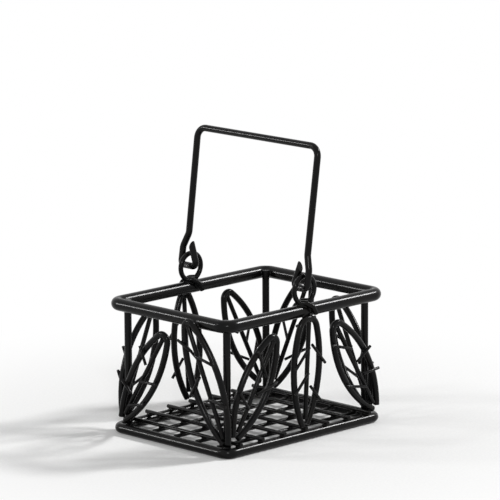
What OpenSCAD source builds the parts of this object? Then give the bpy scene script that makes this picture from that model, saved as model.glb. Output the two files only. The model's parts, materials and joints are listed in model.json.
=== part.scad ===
// Wire basket for sugar packets: a welded basket of round coated wire with a
// swinging bail handle, standing on the plane z = 0 and centred on the z axis.
// The long sides run along x, the short sides along y. Lengths are millimetres.

/* [Basket frame] */
// Length of the top rim, outside to outside
rim_length = 108; // [100:1:130]
// Width of the top rim, outside to outside
rim_width = 82; // [76:1:100]
// Height of the top of the rim above the table
rim_height = 65.5; // [64.5:0.5:72]
// Thickness of the rim wire
rim_wire = 6; // [5:0.1:6.4]
// Thickness of the base frame wire
base_wire = 4.8; // [4:0.1:5.2]
// Thickness of the four corner posts
post_wire = 3.5; // [3:0.1:4]
// Height of the lower end of each post above the table
post_lift = 0.4; // [0:0.1:1]
// Distance from the top of the rim down to the top of each post
post_drop = 1.2; // [0.5:0.1:2.5]
// Clearance left at every weld between two wires
seat = 0.1; // [0.05:0.05:0.15]

/* [Floor grid] */
// Thickness of the floor wires
floor_wire = 1.9; // [1.5:0.1:2.2]
// Distance from the outer cross wires to the middle of the ends of the base frame
floor_end_gap = 7.2; // [7.1:0.1:12]
// Distance from the outer long wires to the middle of the sides of the base frame
floor_side_gap = 8.6; // [7.2:0.1:12]
// Distance the cross wires run past the middle of the base frame
floor_overhang = 2.1; // [0.5:0.1:2.3]

/* [Leaves] */
// Thickness of the wire bent into each leaf outline
leaf_wire = 3; // [2.4:0.1:3.2]
// Height of the top of the rim less the length of a corner leaf between wire centres
leaf_spare = 11.5; // [10.5:0.5:15]
// Greatest width of a corner leaf, between wire centres
leaf_width = 18; // [16:0.5:19]
// Greatest width of a centre leaf, between wire centres
centre_width = 16.8; // [15.6:0.2:18.4]
// Distance of the foot of a centre leaf outwards from the middle of the base frame
centre_stand = 1.2; // [0.5:0.1:2]
// Distance of the tip of a centre leaf below the middle of the rim wire
centre_drop = 3; // [2.5:0.1:3.5]
// Bend radius at the rounded tip of a corner leaf
leaf_tip = 3.3; // [2.9:0.1:4.4]
// Bend radius at the rounded top of a centre leaf
centre_tip = 5.8; // [5.6:0.1:6.6]
// Thickness of the middle vein of a leaf
vein_wire = 2.2; // [1.8:0.1:2.4]
// Thickness of the side veins of a leaf
side_vein_wire = 1.4; // [1:0.1:1.6]
// Length of a side vein left over past the outline
thorn = 1.1; // [0.5:0.1:1.5]

/* [Eyes] */
// Thickness of the wire of the two eyes
eye_wire = 2.4; // [2:0.1:2.6]
// Radius of an eye to the middle of its wire
eye_radius = 6.6; // [6:0.1:7.2]
// Height of the middle of an eye above the top of the rim
eye_rise = 6.9; // [6.6:0.1:8]

/* [Bail] */
// Height of the hinge line of the bail above the top of the rim
hinge_rise = 7.7; // [7:0.1:8.4]
// Distance of the hinge line from the middle of the eyes, towards -x
hinge_shift = 1.5; // [0:0.1:1.6]
// Distance between the legs of the bail at the top, between wire centres
bail_top_span = 80; // [78:0.2:84]
// Distance between the legs at their narrowest, above the hooks, between wire centres
bail_waist_span = 79.2; // [78:0.2:84]
// Sideways offset of the top bar from the middle, towards +y, as the handle is bent by hand
bail_skew = 1.6; // [0:0.1:2]
// Thickness of the bail wire
bail_wire = 3.2; // [2.8:0.1:3.4]
// Height of the top bar above the hinge line
bail_height = 66.5; // [60:0.5:90]
// Radius of the two upper corners to the middle of the wire
bail_corner = 5; // [4:0.5:12]
// Gap between the bail hooks and the wire of the eyes, each side
hook_gap = 0.35; // [0.3:0.05:0.5]
// Bend radius at the bottom of each hook to the middle of the wire
hook_bend = 2.2; // [2:0.1:2.4]
// Distance from the middle of an eye to the inner corner of its hook
hook_reach = 5.6; // [5.4:0.1:5.8]
// Height of the hook tips above the hinge line
hook_tip = 12.2; // [11:0.2:13]
// Distance from the middle of an eye to the hook tip, on the inner side
hook_end = 2.2; // [2.1:0.1:3.4]
// Play of the back hook, by which its leg stands further from the eye
back_play = 1.8; // [0:0.1:2.5]
// Distance by which the tip of the back hook is bent aside, towards -x
back_twist = 2.4; // [0:0.1:3]
// Height above the hinge line where each leg starts to bend in from its hook
kink_low = 8.8; // [8:0.1:9.4]
// Height above the hinge line where each leg is straight again
kink_high = 15.6; // [14:0.1:18]
// Lean of the bail at rest, from upright towards +x
bail_lean = 9.3; // [0:0.1:30]

/* [Hidden] */
$fn = 48;

rim_r = rim_wire / 2;
base_r = base_wire / 2;
post_r = post_wire / 2;
floor_r = floor_wire / 2;
leaf_r = leaf_wire / 2;
vein_r = vein_wire / 2;
side_r = side_vein_wire / 2;
eye_r = eye_wire / 2;
bail_r = bail_wire / 2;

// Middle of the rim wire, and its corner bend wrapped round the post
rim_x = rim_length / 2 - rim_r;
rim_y = rim_width / 2 - rim_r;
rim_z = rim_height - rim_r;
rim_bend = rim_r + seat + post_r;
post_x = rim_x - rim_bend;
post_y = rim_y - rim_bend;

// Middle of the base frame wire, bent round the same four posts
base_bend = base_r + seat + post_r;
base_x = post_x + base_bend;
base_y = post_y + base_bend;

// Floor wires: cross wires on the rails, long wires hanging under them
cross_z = base_wire + seat + floor_r;
long_z = cross_z - floor_wire - seat;
cross_half = base_y + floor_overhang;
long_half = base_x - base_r - seat;
floor_top = cross_z + floor_r;
cross_end = base_x - floor_end_gap;
long_end = base_y - floor_side_gap;

// Straight stretch of round wire between two points
module rod(a, b, r) {
  d = b - a;
  len = norm(d);
  translate(a)
    rotate([0, acos(d[2] / len), atan2(d[1], d[0])])
      cylinder(h = len, r = r);
}

function unit(v) = v / norm(v);
// Cosine of the turn at the middle one of three points
function turn_cos(a, b, c) = unit(b - a) * unit(c - b);
// Length of straight wire given up on each side of a bend
function setback(a, b, c, bend) = bend * tan(acos(turn_cos(a, b, c)) / 2);

// A joint is a hair thicker than the wire, and a lapped stretch of wire is as
// thick and reaches this far into the bends at its ends
swell = 0.02;
lap = 0.15;
// Room between two arcs inside a joint
joint_gap = 0.1;

// Bend of round wire at point b, coming from a and leaving towards c
module elbow(a, b, c, r, bend) {
  d = unit(b - a);
  e = unit(c - b);
  n = unit(e - d * (d * e));
  o = b - d * setback(a, b, c, bend) + n * bend;
  z = cross(-n, d);
  multmatrix([
    [-n[0], d[0], z[0], o[0]],
    [-n[1], d[1], z[1], o[1]],
    [-n[2], d[2], z[2], o[2]],
    [0, 0, 0, 1]
  ])
    rotate_extrude(angle = acos(d * e))
      translate([bend, 0])
        circle(r = r);
}

// Open wire through a list of points, bent at each inner point; bend is one
// radius, or a list with one for each point
module wire(p, r, bend, lapped = false) {
  last = len(p) - 1;
  bends = is_list(bend) ? bend : [for (q = p) bend];
  more = lapped ? lap : 0;
  thick = lapped ? r + swell : r;
  for (i = [1:last - 1])
    elbow(p[i - 1], p[i], p[i + 1], r, bends[i]);
  for (i = [0:last - 1]) {
    d = unit(p[i + 1] - p[i]);
    s = i == 0 ? 0 : setback(p[i - 1], p[i], p[i + 1], bends[i]);
    e = i == last - 1 ? 0 : setback(p[i], p[i + 1], p[i + 2], bends[i + 1]);
    rod(p[i] + d * (s - more), p[i + 1] - d * (e - more), thick);
  }
}

// Closed wire round a rectangle at height z
module frame_wire(x, y, z, r, bend) {
  wire([[0, y, z], [-x, y, z], [-x, -y, z], [x, -y, z], [x, y, z], [0, y, z]], r, bend);
}

module rim() {
  color([0.05, 0.05, 0.055]) frame_wire(rim_x, rim_y, rim_z, rim_r, rim_bend);
}

module base_frame() {
  color([0.05, 0.05, 0.055]) frame_wire(base_x, base_y, base_r, base_r, base_bend);
}

// Corner post; sx and sy pick the corner
module post(sx, sy) {
  color([0.07, 0.07, 0.075])
    rod([sx * post_x, sy * post_y, post_lift], [sx * post_x, sy * post_y, rim_height - post_drop], post_r);
}

// Floor wire across the basket at a share of the way from the middle to the end one
module floor_cross(share) {
  color([0.09, 0.09, 0.1])
    rod([share * cross_end, -cross_half, cross_z], [share * cross_end, cross_half, cross_z], floor_r);
}

// Floor wire along the basket at a share of the way from the middle to the end one
module floor_long(share) {
  color([0.09, 0.09, 0.1])
    rod([-long_half, share * long_end, long_z], [long_half, share * long_end, long_z], floor_r);
}

leaf_length = rim_height - leaf_spare;

// Leaves: side of the basket in quarter turns from the front, end of that side,
// then shares: of the way from the middle of the side to the post, for the tip; of
// leaf length; of leaf width; and of leaf wire, by which the foot stands outside
// the post. Leaves that reach over the rim end with 1.
corner_leaf_shares = [
  [0, -1, 0.4659, 0.925, 1, -0.6, 0],
  [0, 1, 0.411, 1.02, 0.98, 1.1, 0],
  [1, -1, 0.2197, 1, 0.97, -0.45, 0],
  [1, 1, 0.3948, 1.09, 1.03, -0.3, 1],
  [2, -1, 0.5526, 0.94, 0.97, 0, 0],
  [2, 1, 0.5216, 0.93, 0.94, -0.1, 0],
  [3, -1, 0.0374, 1.03, 0.82, 0.05, 0],
  [3, 1, 0.5127, 1.1, 1.04, 0.8, 1]
];
// Centre leaves, front then back: share of centre leaf width, share of the bend
// radius at the top, and share of leaf wire by which the leaf stands aside
centre_leaf_shares = [[1, 1, -0.27], [1.01, 0.5, 0.33]];
// Side veins of each corner leaf: side of the middle vein, start as a share of the
// leaf, and angle from the leaf's axis as a share of a right angle. A vein that
// starts across the middle vein has a fourth share, of leaf wire.
corner_vein_shares = [
  [[-1, 0.63, 0.59, 1.1], [1, 0.44, 0.52], [-1, 0.29, 0.71]],
  [[-1, 0.7, 0.45, 0.6], [1, 0.55, 0.97], [1, 0.4, 1.3], [-1, 0.27, 0.51]],
  [[1, 0.55, 0.47], [1, 0.24, 0.47], [-1, 0.38, 0.47], [-1, 0.17, 0.47]],
  [[-1, 0.55, 0.47], [-1, 0.24, 0.47], [1, 0.38, 0.47], [1, 0.17, 0.47]],
  [[1, 0.55, 0.47], [1, 0.24, 0.47], [-1, 0.38, 0.47], [-1, 0.17, 0.47]],
  [[-1, 0.55, 0.47], [-1, 0.24, 0.47], [1, 0.38, 0.47], [1, 0.17, 0.47]],
  [[-1, 0.65, 0.62], [1, 0.48, 0.61], [-1, 0.3, 0.88], [1, 0.19, 0.5]],
  [[-1, 0.77, 0.51], [1, 0.73, 1.36], [-1, 0.56, 1.4], [1, 0.38, 1.33]]
];
// Side veins of a centre leaf, which point down
centre_vein_shares = [[-1, 0.5, 1.53], [-1, 0.74, 1.53], [1, 0.37, 1.53], [1, 0.76, 1.53]];
// Outward tilt of a corner leaf that stays below the rim, and the most any leaf has
leaf_tilt = 3.9;
most_tilt = 8;
// Half the gap between the two ends of an outline at its foot
foot_half = leaf_r + seat / 2;
// Distance between wire centres where a leaf or an eye lies against the rim
hug = rim_r + leaf_r + seat;

// Height along the leaf of its widest place
function belly(l, w, t) =
  let (
    k = w / 2 - t,
    m = w - 2 * foot_half,
    a = 1 - 2 * k / m,
    b = 2 * (l - t),
    c = pow(l - t, 2) - k * k - 2 * k * (foot_half * foot_half - w * w / 4) / m
  )
    (b - sqrt(b * b - 4 * a * c)) / (2 * a);
// Distance of the centre of a side arc past the leaf's axis
function bulge(l, w, t) =
  (pow(foot_half, 2) + pow(belly(l, w, t), 2) - w * w / 4) / (w - 2 * foot_half);
// Angle at which a side arc starts at the foot, below the widest place
function foot_angle(l, w, t) = atan2(belly(l, w, t), foot_half + bulge(l, w, t));
// How far the foot reaches down below the end of the leaf's axis
function foot_dip(l, w, t, lean) =
  (foot_half + leaf_r * cos(foot_angle(l, w, t))) * sin(lean)
  + leaf_r * sin(foot_angle(l, w, t)) * cos(lean)
  + leaf_r * sin(most_tilt);

// Angle of an arc that is as long as the room inside a joint
function gap_angle(bend) = joint_gap / bend * 180 / PI;

// Ball that joins two arcs of an outline at point p, its poles along the wire
module joint(p, turn) {
  translate(p)
    rotate([0, 0, turn])
      rotate([90, 0, 0])
        sphere(r = leaf_r + swell);
}

// Leaf outline lying flat, foot at the origin, tip along y
module outline(l, w, t) {
  y = belly(l, w, t);
  c = bulge(l, w, t);
  low = foot_angle(l, w, t);
  high = atan2(l - t - y, c);
  for (i = [0, 1])
    mirror([i, 0, 0]) {
      translate([-c, y, 0])
        rotate([0, 0, -low])
          rotate_extrude(angle = low + high - gap_angle(c + w / 2))
            translate([c + w / 2, 0])
              circle(r = leaf_r);
      joint([t * cos(high), l - t + t * sin(high), 0], high);
    }
  translate([0, l - t, 0])
    rotate([0, 0, high + gap_angle(t)])
      rotate_extrude(angle = 180 - 2 * high - 2 * gap_angle(t))
        translate([t, 0])
          circle(r = leaf_r);
}

// Middle vein of a flat leaf, from between the two sides to the tip
module mid_vein(l, w, t) {
  a = foot_angle(l, w, t);
  start = (leaf_r + 3 * seat - (foot_half - vein_r) * cos(a)) / sin(a);
  end = l - t + sqrt(pow(t - leaf_r, 2) - vein_r * vein_r) - seat;
  rod([0, start, leaf_r - vein_r], [0, end, leaf_r - vein_r], vein_r);
}

// Side veins of a flat leaf, lying on its outer face
module side_veins(l, w, t, rows) {
  y = belly(l, w, t);
  c = bulge(l, w, t);
  z = leaf_r + side_r + seat;
  for (row = rows) {
    angle = 90 * row[2];
    across = len(row) > 3 ? row[3] : 0;
    x0 = side_r + seat - leaf_wire * across;
    y0 = row[1] * l;
    b = (x0 + c) * sin(angle) + (y0 - y) * cos(angle);
    q = sqrt(b * b - pow(x0 + c, 2) - pow(y0 - y, 2) + pow(c + w / 2, 2)) - b;
    e = q + leaf_r + thorn;
    rod([row[0] * x0, y0, z], [row[0] * (x0 + e * sin(angle)), y0 + e * cos(angle), z], side_r);
  }
}

// One piece of a corner leaf; kind is 0 outline, 1 middle vein, 2 side veins
module corner_leaf(i, kind) {
  row = corner_leaf_shares[i];
  long_side = row[0] % 2 == 0;
  end = long_side ? post_x : post_y;
  l = leaf_length * row[3];
  w = leaf_width * row[4];
  along = end + leaf_wire * row[5];
  lean = asin((along - end * row[2]) / l);
  out = (long_side ? post_y : post_x) + post_r + leaf_r + seat;
  over_wire = long_side && along - foot_half - leaf_r < cross_end + floor_r + seat;
  up = (over_wire ? floor_top : base_wire) + seat + foot_dip(l, w, leaf_tip, lean);
  tilt = row[6] == 1 ? atan2(rim_x + hug - out, rim_z - up) : leaf_tilt;
  rotate([0, 0, 90 * row[0]])
    translate([row[1] * along, -out, up])
      rotate([90 + tilt, 0, 0])
        rotate([0, 0, row[1] * lean])
          leaf_piece(l, w, leaf_tip, kind, corner_vein_shares[i]);
}

// One piece of the upright leaf in the middle of a long side
module centre_leaf(side, kind) {
  row = centre_leaf_shares[side];
  w = centre_width * row[0];
  t = centre_tip * row[1];
  rise = rim_z - centre_drop - floor_top;
  up = floor_top + seat + foot_dip(rise, w, t, 0);
  l = rim_z - centre_drop - up;
  foot_y = base_y + centre_stand;
  lean_out = rim_y + sqrt(hug * hug - centre_drop * centre_drop) - foot_y;
  rotate([0, 0, 180 * side])
    translate([leaf_wire * row[2], -foot_y, up])
      rotate([90 + asin(lean_out / l), 0, 0])
        leaf_piece(l, w, t, kind, centre_vein_shares);
}

// Outline, middle vein or side veins of a flat leaf
module leaf_piece(l, w, t, kind, rows) {
  if (kind == 0) color([0.06, 0.06, 0.065]) outline(l, w, t);
  if (kind == 1) color([0.08, 0.08, 0.085]) mid_vein(l, w, t);
  if (kind == 2) color([0.1, 0.1, 0.105]) side_veins(l, w, t, rows);
}

// Ends of an eye in shares of its distance from the rim, counted from the rim wire
tail_shares = [[-0.28, 0.51, 0.953], [0.37, 0.977, 0.488], [0.79, 1.035, -0.3]];
tail_angle = 45;
eye_hug = rim_r + eye_r + seat;
eye_z = rim_height + eye_rise;
eye_tail_bend = eye_wire * 0.75;
eye_tail_run = eye_wire * 0.625;

// Eye on the middle of the front rail: a ring whose ends cross and straddle the rim
module eye(side) {
  s = sin(tail_angle);
  c = cos(tail_angle);
  color([0.06, 0.06, 0.065])
    rotate([0, 0, 180 * side])
      translate([0, -rim_y, 0]) {
        translate([0, 0, eye_z])
          rotate([90, 0, 0])
            rotate([0, 0, -tail_angle])
              rotate_extrude(angle = 180 + 2 * tail_angle)
                translate([eye_radius, 0])
                  circle(r = eye_r);
        for (k = [-1, 1]) {
          end = [k * eye_radius * c, 0, eye_z - eye_radius * s];
          turn = end - [k * eye_tail_run * s, 0, eye_tail_run * c];
          wire(
            concat(
              [end, turn],
              [for (q = tail_shares) [-k * q[0] * eye_hug, k * q[1] * eye_hug, rim_z + q[2] * eye_hug]]
            ),
            eye_r, eye_tail_bend, true
          );
        }
      }
}

// Hinge line of the bail and the places of its hooks
hinge_z = rim_height + hinge_rise;
hook_out = rim_y + eye_r + hook_gap + bail_r;

// Slant of the cut at a hook tip, and length of the rod that is cut
tip_cut = 65;
tip_run = bail_wire * 1.5;

// The bail is drawn upright, its hinge line along y through the origin; side is 1
// at the back and -1 at the front
function tip_point(side) = [side > 0 ? -back_twist : 0, side * (rim_y - hook_end), hook_tip];
function inner_corner(side) = [0, side * (rim_y - hook_reach), 0];

// Half of the bail from just below the hook tip to the top bar
function bail_half(side) =
  let (
    off = bail_skew * kink_high / bail_height,
    leg = side * (hook_out + (side > 0 ? back_play : 0)),
    tip = tip_point(side)
  )
    [
      tip - tip_run * unit(tip - inner_corner(side)),
      inner_corner(side),
      [0, leg, 0],
      [0, leg, kink_low],
      [0, side * bail_waist_span / 2 + off, kink_high],
      [0, side * bail_top_span / 2 + bail_skew, bail_height]
    ];

// Bail handle, upright, both hook tips cut aslant
module bail_upright() {
  half = bail_half(1);
  other = bail_half(-1);
  bends = [0, hook_bend, hook_bend, bail_corner, bail_corner, bail_corner];
  wire(
    concat(half, [for (i = [5:-1:0]) other[i]]),
    bail_r, concat(bends, [for (i = [5:-1:0]) bends[i]]), true
  );
  for (side = [-1, 1]) {
    tip = tip_point(side);
    difference() {
      rod(bail_half(side)[0] - lap * unit(tip - inner_corner(side)), tip, bail_r);
      translate(tip - [0, side * bail_r, 0])
        rotate([-side * tip_cut, 0, 0])
          translate([-bail_wire, -2 * bail_wire, 0])
            cube([2 * bail_wire, 4 * bail_wire, 2 * bail_wire]);
    }
  }
}

module bail() {
  color([0.07, 0.07, 0.075])
    translate([-hinge_shift, 0, hinge_z])
      rotate([0, bail_lean, 0])
        bail_upright();
}

rim();
base_frame();
post(-1, -1);  // post_front_left
post(1, -1);  // post_front_right
post(1, 1);  // post_back_right
post(-1, 1);  // post_back_left
floor_cross(-1);  // floor_cross_1
floor_cross(-2 / 3);  // floor_cross_2
floor_cross(-1 / 3);  // floor_cross_3
floor_cross(0);  // floor_cross_4
floor_cross(1 / 3);  // floor_cross_5
floor_cross(2 / 3);  // floor_cross_6
floor_cross(1);  // floor_cross_7
floor_long(-1);  // floor_long_1
floor_long(-1 / 2);  // floor_long_2
floor_long(0);  // floor_long_3
floor_long(1 / 2);  // floor_long_4
floor_long(1);  // floor_long_5
corner_leaf(0, 0);  // leaf_front_left
corner_leaf(1, 0);  // leaf_front_right
corner_leaf(2, 0);  // leaf_right_front
corner_leaf(3, 0);  // leaf_right_back
corner_leaf(4, 0);  // leaf_back_right
corner_leaf(5, 0);  // leaf_back_left
corner_leaf(6, 0);  // leaf_left_back
corner_leaf(7, 0);  // leaf_left_front
centre_leaf(0, 0);  // leaf_front_centre
centre_leaf(1, 0);  // leaf_back_centre
corner_leaf(0, 1);  // vein_front_left
corner_leaf(1, 1);  // vein_front_right
corner_leaf(2, 1);  // vein_right_front
corner_leaf(3, 1);  // vein_right_back
corner_leaf(4, 1);  // vein_back_right
corner_leaf(5, 1);  // vein_back_left
corner_leaf(6, 1);  // vein_left_back
corner_leaf(7, 1);  // vein_left_front
centre_leaf(0, 1);  // vein_front_centre
centre_leaf(1, 1);  // vein_back_centre
corner_leaf(0, 2);  // side_veins_front_left
corner_leaf(1, 2);  // side_veins_front_right
corner_leaf(2, 2);  // side_veins_right_front
corner_leaf(3, 2);  // side_veins_right_back
corner_leaf(4, 2);  // side_veins_back_right
corner_leaf(5, 2);  // side_veins_back_left
corner_leaf(6, 2);  // side_veins_left_back
corner_leaf(7, 2);  // side_veins_left_front
centre_leaf(0, 2);  // side_veins_front_centre
centre_leaf(1, 2);  // side_veins_back_centre
eye(0);  // eye_front
eye(1);  // eye_back
bail();
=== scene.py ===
# %% [markdown]
# A small wire basket with leaves and a handle
#
# The basket is welded from round steel wire and coated black: a thick rim and a
# thinner base frame joined by four posts, a floor grid, ten leaves bent from
# wire with a middle vein and side veins, and a handle whose hooks hang in two
# eyes on the rim. The wires come as exact solids in metres. This lesson adds
# what the solids leave out: the welds, the soft cut ends, the coating with its
# wear, a table, light and a camera.

# %% Load the wires
import json
import math

import bpy
import numpy as np
from mathutils import Matrix, Vector, noise
from mathutils.bvhtree import BVHTree


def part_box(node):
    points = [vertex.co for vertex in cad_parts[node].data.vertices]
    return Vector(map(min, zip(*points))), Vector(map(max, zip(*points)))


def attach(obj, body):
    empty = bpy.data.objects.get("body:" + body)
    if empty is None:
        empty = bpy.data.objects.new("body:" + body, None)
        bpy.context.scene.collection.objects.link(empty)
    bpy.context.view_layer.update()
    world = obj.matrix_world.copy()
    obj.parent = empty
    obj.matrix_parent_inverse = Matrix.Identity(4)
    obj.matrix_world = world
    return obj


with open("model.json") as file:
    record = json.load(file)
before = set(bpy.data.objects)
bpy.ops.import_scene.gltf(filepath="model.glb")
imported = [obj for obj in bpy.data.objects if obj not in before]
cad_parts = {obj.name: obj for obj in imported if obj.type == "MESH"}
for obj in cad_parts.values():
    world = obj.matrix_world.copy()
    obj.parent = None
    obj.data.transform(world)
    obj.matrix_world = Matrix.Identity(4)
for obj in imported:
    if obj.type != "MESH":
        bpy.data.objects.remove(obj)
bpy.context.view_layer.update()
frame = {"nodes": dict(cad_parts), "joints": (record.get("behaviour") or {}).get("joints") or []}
nodes = frame["nodes"]
mm = 0.001


def in_mm(values):
    return [round(value / mm, 1) for value in values]


# %% [markdown]
# The camera stands about 1.8 m away with a long lens, looks along the diagonal
# of the basket and a little down. A long lens keeps the rails nearly parallel,
# as they are in a catalogue picture. Its place was found once by fitting the
# corners of the basket to the picture, so it is written here as plain numbers.

# %% Camera
camera_place = Vector((-1254.72, -1259.67, 451.41)) * mm
azimuth = math.radians(44.94)
drop = math.radians(11.618)
roll = math.radians(-0.276)
focal_pixels = 3842.8
image_pixels = 500
sensor = 36.0

level = math.cos(drop)
forward = Vector((level * math.sin(azimuth), level * math.cos(azimuth), -math.sin(drop)))
level_right = Vector((math.cos(azimuth), -math.sin(azimuth), 0.0))
level_up = level_right.cross(forward)
right = math.cos(roll) * level_right + math.sin(roll) * level_up
up = right.cross(forward)

camera_data = bpy.data.cameras.new("camera")
camera_data.sensor_width = sensor
camera_data.lens = focal_pixels / image_pixels * sensor
camera_data.clip_start = 0.05
camera_data.clip_end = 20.0
camera = bpy.data.objects.new("camera", camera_data)
turn = Matrix((right, up, -forward)).transposed().to_4x4()
camera.matrix_world = Matrix.Translation(camera_place) @ turn
bpy.context.scene.collection.objects.link(camera)
bpy.context.scene.camera = camera
bpy.context.scene.view_settings.view_transform = "Standard"
print("lens in mm:", round(camera_data.lens, 1))

# %% [markdown]
# Materials are written as expressions. A small class wraps an output socket of
# a node, so that `1 - mask` or `a * b` adds the Math node that works it out.
# Every other node comes from one method that takes its type, its settings and
# the values or links of its inputs. Only a mix of two colours has a method of
# its own, because the Mix node has several inputs of one name, so that those
# for colours go by number.


# %% Sockets as values
class Value:
    """One output socket of a material, which adds Math nodes when it is used in a sum"""

    def __init__(self, tree, socket):
        self.tree = tree
        self.socket = socket

    def math(self, operation, *others):
        return self.tree.node("ShaderNodeMath", {"operation": operation}, *others)

    def __add__(self, other):
        return self.math("ADD", self, other)

    __radd__ = __add__

    def __mul__(self, other):
        return self.math("MULTIPLY", self, other)

    __rmul__ = __mul__

    def __rsub__(self, other):
        return self.math("SUBTRACT", other, self)

    def larger(self, other):
        return self.math("MAXIMUM", self, other)

    def between(self, low, high):
        """0 below low, 1 above high, and smooth between them"""
        settings = {"interpolation_type": "SMOOTHSTEP"}
        ends = {"From Min": low, "From Max": high}
        return self.tree.node("ShaderNodeMapRange", settings, Value=self, **ends)


class Tree:
    """The nodes of a material or of the world"""

    mix_sockets = {"factor": 0, "first": 6, "second": 7, "result": 2}

    def __init__(self, owner):
        owner.use_nodes = True
        self.nodes = owner.node_tree.nodes
        self.links = owner.node_tree.links
        self.nodes.clear()

    def feed(self, socket, value):
        """Link a value to an input, or write a number or a colour into it"""
        if isinstance(value, Value):
            self.links.new(value.socket, socket)
        else:
            socket.default_value = value

    def node(self, kind, settings=None, *values, out=0, **named):
        """Any node, with the values of its inputs in order or by name"""
        made = self.nodes.new(kind)
        for key, setting in (settings or {}).items():
            setattr(made, key, setting)
        for key, value in list(enumerate(values)) + list(named.items()):
            self.feed(made.inputs[key], value)
        return Value(self, made.outputs[out]) if len(made.outputs) else made

    def mix(self, factor, first, second):
        """A colour between two others"""
        made = self.nodes.new("ShaderNodeMix")
        made.data_type = "RGBA"
        self.feed(made.inputs[self.mix_sockets["factor"]], factor)
        self.feed(made.inputs[self.mix_sockets["first"]], first)
        self.feed(made.inputs[self.mix_sockets["second"]], second)
        return Value(self, made.outputs[self.mix_sockets["result"]])

    def noise(self, place, size, detail=2.0, roughness=0.5):
        """Soft noise with lumps of a given size in metres"""
        look = {"Scale": 1.0 / size, "Detail": detail, "Roughness": roughness}
        return self.node("ShaderNodeTexNoise", {}, Vector=place, **look)

    def shown(self):
        """1 to the camera, and in what mirrors or lets light through, and 0 to other light"""
        camera_ray = self.node("ShaderNodeLightPath", out="Is Camera Ray")
        mirrored = self.node("ShaderNodeLightPath", out="Is Glossy Ray")
        passed = self.node("ShaderNodeLightPath", out="Is Transmission Ray")
        return camera_ray.larger(mirrored).larger(passed)


print("classes for shader sums:", Value.__name__, Tree.__name__)

# %% [markdown]
# The finish is a smooth black powder coat on steel wire. Powder melts into a
# skin with a faint orange peel, about half a millimetre across, and lies a
# little thicker in one place than another, so its gloss wanders. Dust settles
# on what faces up. Where the hooks of the handle swing in the eyes, and where
# the base stands on the table, the coat is rubbed duller and greyer, and the
# very highest spots show steel. All of this comes from noise and from where a
# point lies, so it needs no unwrapping. Noise lies around 0.5 and seldom leaves
# 0.3 to 0.7, so a mask comes from where it passes a low and a high value.

# %% Colours and grain of the coat
coat_black = (0.0026, 0.0026, 0.0029, 1.0)
coat_brown = (0.0042, 0.0037, 0.0034, 1.0)
dust_grey = (0.02, 0.019, 0.018, 1.0)
rubbed_grey = (0.045, 0.045, 0.048, 1.0)
steel_grey = (0.38, 0.37, 0.36, 1.0)

peel_size = 0.55 * mm
flow_size = 3.5 * mm
cloud_size = 14.0 * mm
grit_size = 0.16 * mm
rub_size = 0.9 * mm

brown_clouds = (0.35, 0.65)
dust_slopes = (0.35, 1.0)
dust_clouds = (0.35, 0.7)
dust_grit = (0.45, 0.75)
rubbed_patches = (0.38, 0.62)
bare_patches = (0.6, 0.68)
standing_heights = (0.1 * mm, 0.7 * mm)
hook_reach = 4.0 * mm
hook_core = 0.45 * hook_reach
print("grain in mm:", in_mm((peel_size, flow_size, cloud_size, grit_size, rub_size)))

# %% [markdown]
# The coat mixes its colours in the order in which they came onto the wire:
# powder, dust, rubbing, bare steel. Roughness is a sum, with a low base and a
# share for each thing that dulls the coat, and so is the height for the bump.
# The room is white on every side, and a full mirror of it would turn the black
# grey. So the specular level is kept low, and only bright lamps draw lines on
# the coat.

# %% Coated wire
base_gloss, flow_gloss, dust_gloss, rubbed_gloss = 0.18, 0.05, 0.15, 0.2
flow_range = (0.3, 0.7)
peel_height, flow_height, rub_height = 0.12, 0.4, 0.8
bump_strength, bump_depth = 0.35, 0.06 * mm
dust_cover = 0.3
coat_mirror = 0.12


def coated_wire(name, rubbed_around=()):
    """Black powder coat, rubbed where it stands and around some points"""
    material = bpy.data.materials.new(name)
    tree = Tree(material)
    place = tree.node("ShaderNodeTexCoord", out="Object")
    above_table = tree.node("ShaderNodeSeparateXYZ", {}, place, out="Z")
    facing = tree.node("ShaderNodeNewGeometry", out="Normal")
    upward = tree.node("ShaderNodeSeparateXYZ", {}, facing, out="Z")

    peel = tree.noise(place, peel_size, detail=1.0)
    flow = tree.noise(place, flow_size)
    cloud = tree.noise(place, cloud_size)
    grit = tree.noise(place, grit_size, detail=0.0)
    rub = tree.noise(place, rub_size, detail=4.0, roughness=0.65)

    worn = 1 - above_table.between(*standing_heights)
    for spot in rubbed_around:
        distance = {"operation": "DISTANCE"}
        away = tree.node("ShaderNodeVectorMath", distance, place, tuple(spot), out="Value")
        worn = worn.larger(1 - away.between(hook_core, hook_reach))
    worn = worn * rub.between(*rubbed_patches)
    bare = worn * rub.between(*bare_patches)
    dust = upward.between(*dust_slopes) * cloud.between(*dust_clouds) * grit.between(*dust_grit)

    colour = tree.mix(cloud.between(*brown_clouds), coat_black, coat_brown)
    colour = tree.mix(dust * dust_cover, colour, dust_grey)
    colour = tree.mix(worn, colour, rubbed_grey)
    colour = tree.mix(bare, colour, steel_grey)
    gloss = base_gloss + flow.between(*flow_range) * flow_gloss
    gloss = gloss + dust * dust_gloss + worn * rubbed_gloss

    height = peel * peel_height + flow * flow_height + worn * rub * rub_height
    relief = {"Strength": bump_strength, "Distance": bump_depth, "Height": height}
    bump = tree.node("ShaderNodeBump", {}, **relief)
    inputs = {
        "Base Color": colour, "Roughness": gloss, "Metallic": bare, "Normal": bump,
        "IOR": 1.5, "Specular IOR Level": coat_mirror,
    }
    shader = tree.node("ShaderNodeBsdfPrincipled", {"distribution": "MULTI_GGX"}, **inputs)
    tree.node("ShaderNodeOutputMaterial", {}, shader)
    return material


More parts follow.
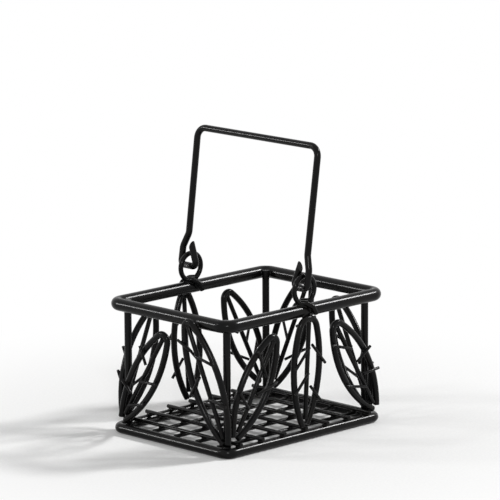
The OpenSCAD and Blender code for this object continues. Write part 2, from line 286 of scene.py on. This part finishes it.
hinge = Vector(frame["joints"][0]["pos_m"])
rim_low, rim_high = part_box("rim")
rim_wire = rim_high.z - rim_low.z
eye_y = (rim_high.y - rim_low.y) / 2 - rim_wire / 2
hook_spots = [Vector((hinge.x, side * eye_y, hinge.z)) for side in (-1, 1)]
plain_coat = coated_wire("black_coat")
rubbed_coat = coated_wire("black_coat_rubbed", hook_spots)
print("hooks swing at, in mm:", [in_mm(spot) for spot in hook_spots])

# %% [markdown]
# The solids already have the right shape, so they stay and only get the coat.
# Their straight wires end in a sharp circle, though, where a real wire is cut
# and then coated, which rounds its edge. A Weld modifier closes the seams of
# the mesh, and a small Bevel modifier rounds only edges that turn sharply.

# %% Coat the wires and soften their cut ends
straight = ("post", "floor", "vein", "side_veins")
swinging = ("eye", "bail")
seam_gap = 0.002 * mm
end_round = 0.22 * mm
end_faces = 3
sharp_turn = math.radians(60)

for name, wire in nodes.items():
    wire.data.materials.clear()
    wire.data.materials.append(rubbed_coat if name.startswith(swinging) else plain_coat)
    if name.startswith(straight):
        seam = wire.modifiers.new("close seams", "WELD")
        seam.merge_threshold = seam_gap
        soft = wire.modifiers.new("soft ends", "BEVEL")
        soft.width = end_round
        soft.segments = end_faces
        soft.limit_method = "ANGLE"
        soft.angle_limit = sharp_turn
print("wires with soft ends:", sum(name.startswith(straight) for name in nodes))

# %% [markdown]
# Welds join the wires wherever two of them touch. On the real basket each is a
# small lump of melted steel, and the coat runs into the crease round it. To
# place them, each wire gets the corners of its mesh as points, with more along
# the edges so that none are over a millimetre apart, and their distance to each
# neighbour is measured. A close one is walked back and forth between both wires
# until it sits where they come nearest. The handle is left out: it hangs loose.

# %% Points over a wire
spread = 1.0 * mm


class Wire:
    """A wire of the basket: points over its surface and a tree for distances"""

    def __init__(self, name, mesh):
        self.name = name
        points = np.array([v.co for v in mesh.vertices])
        edges = np.array([e.vertices[:] for e in mesh.edges])
        start, end = points[edges[:, 0]], points[edges[:, 1]]
        steps = np.ceil(np.linalg.norm(end - start, axis=1) / spread).astype(int)
        rows = [points]
        for count in range(2, steps.max() + 1):
            some = steps == count
            for share in np.arange(1, count) / count:
                rows.append(start[some] + (end - start)[some] * share)
        self.points = np.vstack(rows)
        self.low, self.high = self.points.min(0), self.points.max(0)
        faces = [p.vertices[:] for p in mesh.polygons]
        self.tree = BVHTree.FromPolygons([v.co for v in mesh.vertices], faces)

    def nearest(self, point):
        return self.tree.find_nearest(point)[0]


wires = [Wire(name, node.data) for name, node in nodes.items() if name != "bail"]
print("points on the wires:", sum(len(wire.points) for wire in wires))

# %% [markdown]
# The solids of two welded wires stop a hair short of each other. Where less
# than `touching` lies between them there is a weld, and two places closer than
# `apart` are one and the same weld.

# %% Find where wires touch
near = 0.45 * mm
touching = 0.22 * mm
apart = 1.7 * mm
walks = 12


def touches(first, second):
    """Places where two wires touch"""
    low, high = second.low - near, second.high + near
    close = np.all((first.points > low) & (first.points < high), axis=1)
    found = []
    for point in first.points[close]:
        there = second.nearest(Vector(point))
        if (there - Vector(point)).length > near:
            continue
        for _ in range(walks):
            here = first.nearest(there)
            there = second.nearest(here)
        middle = (here + there) / 2
        new = all((middle - other).length > apart for other in found)
        if (here - there).length < touching and new:
            found.append(middle)
    return found


contacts = []
for index, first in enumerate(wires):
    for second in wires[index + 1:]:
        if np.all(first.low < second.high + near) and np.all(second.low < first.high + near):
            few, many = sorted((first, second), key=lambda wire: len(wire.points))
            kept = []
            for point in touches(few, many) + touches(many, few):
                if all((point - old).length > apart for old in kept):
                    kept.append(point)
            contacts += [(point, first, second) for point in kept]
print("welds:", len(contacts))

# %% [markdown]
# A weld is not a ball stuck on the wires: it is a crease filled in. That shape
# is easy to say with distances. Take the distance to each of the two wires, and
# instead of the smaller one use a smooth minimum, which dips a little where both
# are small. The surface on which it is zero follows both wires and rounds the
# crease between them. A little noise makes it lumpy, and a ramp that grows away
# from the weld shrinks the surface into the wires, where it closes unseen.

# %% Distance field of a weld
wire_mm = {
    "rim": 6.0, "base": 4.8, "post": 3.5, "floor": 1.9,
    "leaf": 3.0, "vein": 2.2, "side": 1.4, "eye": 2.4,
}
fill_share = 0.5
most_fill = 1.1 * mm
reach_share = 1.55
spare_reach = 0.45 * mm
full_size = 0.7
sink_share = 0.75
lump_size = 0.9 * mm
lump_height = 0.05 * mm
cells = 18


def thickness(wire):
    return wire_mm[wire.name.split("_")[0]] * mm


def signed(wire, point):
    """Distance from a wire's surface, below zero inside it"""
    there, normal, _, away = wire.tree.find_nearest(point)
    return away if (point - there).dot(normal) > 0 else -away


def weld_field(middle, first, second):
    """Values on a grid round a weld, the grid's corner and its step"""
    thin, thick = sorted((thickness(first), thickness(second)))
    fill = min(fill_share * thin, most_fill)
    reach = reach_share * math.sqrt(thin * fill) + spare_reach
    step = 2 * reach / cells
    corner = middle - Vector((reach, reach, reach))
    field = np.empty((cells + 1,) * 3)
    steep = sink_share * thick / ((1 - full_size) * reach)
    for i, j, k in np.ndindex(field.shape):
        point = corner + Vector((i, j, k)) * step
        ramp = steep * max(0.0, (point - middle).length - full_size * reach)
        if ramp > 2 * reach:
            field[i, j, k] = ramp
            continue
        one, two = signed(first, point), signed(second, point)
        blend = max(fill - abs(one - two), 0.0) / fill
        lump = lump_height * noise.noise(point / lump_size) * blend
        field[i, j, k] = min(one, two) - blend * blend * fill / 4 - lump + ramp
    return field, corner, step


print("points in the grid of one weld:", (cells + 1) ** 3)

# %% [markdown]
# The field is turned into a mesh by the method known as surface nets: every
# grid cell that the surface passes through gets one point, at the mean of the
# places where its edges are crossed, and every crossed edge joins the four
# cells round it with one face. It gives even, smooth faces from a few lines.

# %% Skin of a field
corners = [np.array(c) for c in np.ndindex(2, 2, 2)]
cell_edges = [(a, b) for a in corners for b in corners if (b - a).sum() == 1 and (b - a).min() == 0]


def skin(field, corner, step):
    """Points and four-sided faces of the surface on which the field is zero"""
    n = np.array(field.shape) - 1
    total, count = np.zeros((*n, 3)), np.zeros(n)
    for a, b in cell_edges:
        low = field[a[0]:n[0] + a[0], a[1]:n[1] + a[1], a[2]:n[2] + a[2]]
        high = field[b[0]:n[0] + b[0], b[1]:n[1] + b[1], b[2]:n[2] + b[2]]
        crossed = (low < 0) != (high < 0)
        share = np.where(crossed, low / np.where(crossed, low - high, 1.0), 0.0)
        total += np.where(crossed[..., None], a + share[..., None] * (b - a), 0.0)
        count += crossed
    used = count > 0
    number = np.full(n, -1)
    number[used] = np.arange(used.sum())
    cell = np.argwhere(used)
    points = np.array(corner) + (cell + total[used] / count[used][:, None]) * step
    faces = []
    for axis in range(3):
        side, other = (axis + 1) % 3, (axis + 2) % 3
        low = np.moveaxis(field, axis, 0)[:-1]
        high = np.moveaxis(field, axis, 0)[1:]
        for row in np.argwhere((low < 0) != (high < 0)):
            place = np.insert(row[1:], axis, row[0])
            if place[side] == 0 or place[other] == 0 or np.any(place >= n):
                continue
            ring = []
            for du, dv in ((0, 0), (1, 0), (1, 1), (0, 1)):
                spot = place.copy()
                spot[side] -= du
                spot[other] -= dv
                ring.append(number[tuple(spot)])
            inside_first = field[tuple(place)] < 0
            faces.append(ring if inside_first else ring[::-1])
    return points, faces


print("edges of a cell:", len(cell_edges))

# %% [markdown]
# The welds are gathered into one piece for each part of the basket, so that a
# leaf keeps its own welds, and the floor grid, the posts and the eyes theirs.
# A weld belongs to the thinner of its two wires. All of them ride on the
# basket and carry the coat of the wires.

# %% Make the welds
groups = {}
for middle, first, second in contacts:
    thin = first if thickness(first) < thickness(second) else second
    kind, _, rest = thin.name.replace("side_veins", "vein").partition("_")
    group = "welds_leaf_" + rest if kind in ("leaf", "vein") else "welds_" + kind
    groups.setdefault(group, []).append(skin(*weld_field(middle, first, second)))


def weld_piece(name, points, faces):
    """A mesh object that rides on the basket"""
    mesh = bpy.data.meshes.new(name)
    mesh.from_pydata([tuple(p) for p in points], [], [tuple(int(i) for i in f) for f in faces])
    mesh.validate()
    mesh.shade_smooth()
    mesh.materials.append(plain_coat)
    made = bpy.data.objects.new(name, mesh)
    bpy.context.scene.collection.objects.link(made)
    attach(made, "basket")


face_count = 0
for group, parts in sorted(groups.items()):
    all_points, all_faces = [], []
    for points, faces in parts:
        start = len(all_points)
        all_points += list(points)
        all_faces += [[start + i for i in face] for face in faces]
    weld_piece(group, all_points, all_faces)
    face_count += len(all_faces)
    print(group, len(parts), "welds", len(all_faces), "faces")
print("faces of all welds:", face_count)

# %% [markdown]
# The table is a plain pale sheet. To the camera, and in reflections, it turns
# to plain white within a hand's length of the basket, so that only the soft
# shadow under the basket is left of it. A Mix Shader between paper and a plain
# glow does that, with the distance from the middle as its factor.

# %% Table
white = (1.0, 1.0, 1.0, 1.0)
paper_tones = (0.91, 0.91, 0.905, 1.0), (0.95, 0.95, 0.945, 1.0)
fibre_size = 1.2 * mm
fibre_range = (0.3, 0.7)
fade_start, fade_end = 0.085, 0.24
table_half = 3.0
table_strips = 24

paper = bpy.data.materials.new("paper")
tree = Tree(paper)
place = tree.node("ShaderNodeTexCoord", out="Object")
away = tree.node("ShaderNodeVectorMath", {"operation": "LENGTH"}, place, out="Value")
fibre = tree.noise(place, fibre_size, detail=3.0)
tone = tree.mix(fibre.between(*fibre_range), *paper_tones)
grain = tree.node("ShaderNodeBump", {}, Strength=0.1, Distance=0.05 * mm, Height=fibre)
matt = {"Base Color": tone, "Roughness": 0.9, "Normal": grain, "Specular IOR Level": 0.2}
sheet = tree.node("ShaderNodeBsdfPrincipled", {}, **matt)
glow = tree.node("ShaderNodeEmission", {}, Color=white, Strength=1.0)
fade = tree.shown() * away.between(fade_start, fade_end)
mixed = tree.node("ShaderNodeMixShader", {}, fade, sheet, glow)
tree.node("ShaderNodeOutputMaterial", {}, mixed)

points, faces = [], []
for row in range(table_strips + 1):
    y = -table_half + 2 * table_half * row / table_strips
    points += [(-table_half, y, 0.0), (table_half, y, 0.0)]
for row in range(table_strips):
    a = 2 * row
    faces.append((a, a + 1, a + 3, a + 2))
mesh = bpy.data.meshes.new("table")
mesh.from_pydata(points, [], faces)
mesh.materials.append(paper)
table = bpy.data.objects.new("table", mesh)
bpy.context.scene.collection.objects.link(table)
print("table is", 2 * table_half, "m wide, white beyond", fade_end, "m")

# %% [markdown]
# The room is white to the camera and in reflections as well, but it lights the
# basket with only a third of that white. The lamps add the other two thirds, so
# the table comes out as pale as its colour says, with a soft shadow on it.

# %% Room
room_light = 0.32
world = bpy.data.worlds.new("studio")
bpy.context.scene.world = world
tree = Tree(world)
level = room_light + tree.shown() * (1 - room_light)
backdrop = tree.node("ShaderNodeBackground", {}, Color=white, Strength=level)
tree.node("ShaderNodeOutputWorld", {}, backdrop)
print("room lights with", room_light, "of white")

# %% [markdown]
# Four small bright lamps stand three metres away. A straight round wire mirrors
# a lamp as one thin line along its whole length, but only if the lamp's
# direction makes the same angle with the wire as the eye's. The first lamp is
# placed so for the long rails and draws their bright lines, and the second
# draws a grey line on the short rails. The third, above the camera, catches the
# leaves, and the fourth lines the rails when they are seen from behind.

# %% Lights
centre = Vector((0.0, 0.0, 0.05))
far = 3.0
long_rails, short_rails = (1, 0, 0), (0, 1, 0)


def strip(name, direction, along, length, width, radiance):
    """A lamp that faces the basket, its length along a given axis"""
    data = bpy.data.lights.new(name, "AREA")
    data.shape = "RECTANGLE"
    data.size, data.size_y = length, width
    data.energy = radiance * math.pi * length * width
    lamp = bpy.data.objects.new(name, data)
    toward = Vector(direction).normalized()
    short = toward.cross(Vector(along)).normalized()
    axes = Matrix((short.cross(toward), short, toward)).transposed().to_4x4()
    lamp.matrix_world = Matrix.Translation(centre + toward * far) @ axes
    bpy.context.scene.collection.objects.link(lamp)
    facing_up = toward.z * length * width / far**2
    print(name, "adds", round(radiance * facing_up / math.pi, 3), "of a white floor's light")


strip("over_long_rails", (0.69, -0.38, 0.615), long_rails, 0.42, 0.5, 100.0)
strip("over_short_rails", (-0.66, 0.69, 0.29), short_rails, 0.35, 0.35, 55.0)
strip("by_camera", (-0.6, -0.68, 0.42), long_rails, 0.35, 0.35, 50.0)
strip("behind", (-0.69, 0.45, 0.57), long_rails, 0.42, 0.25, 25.0)
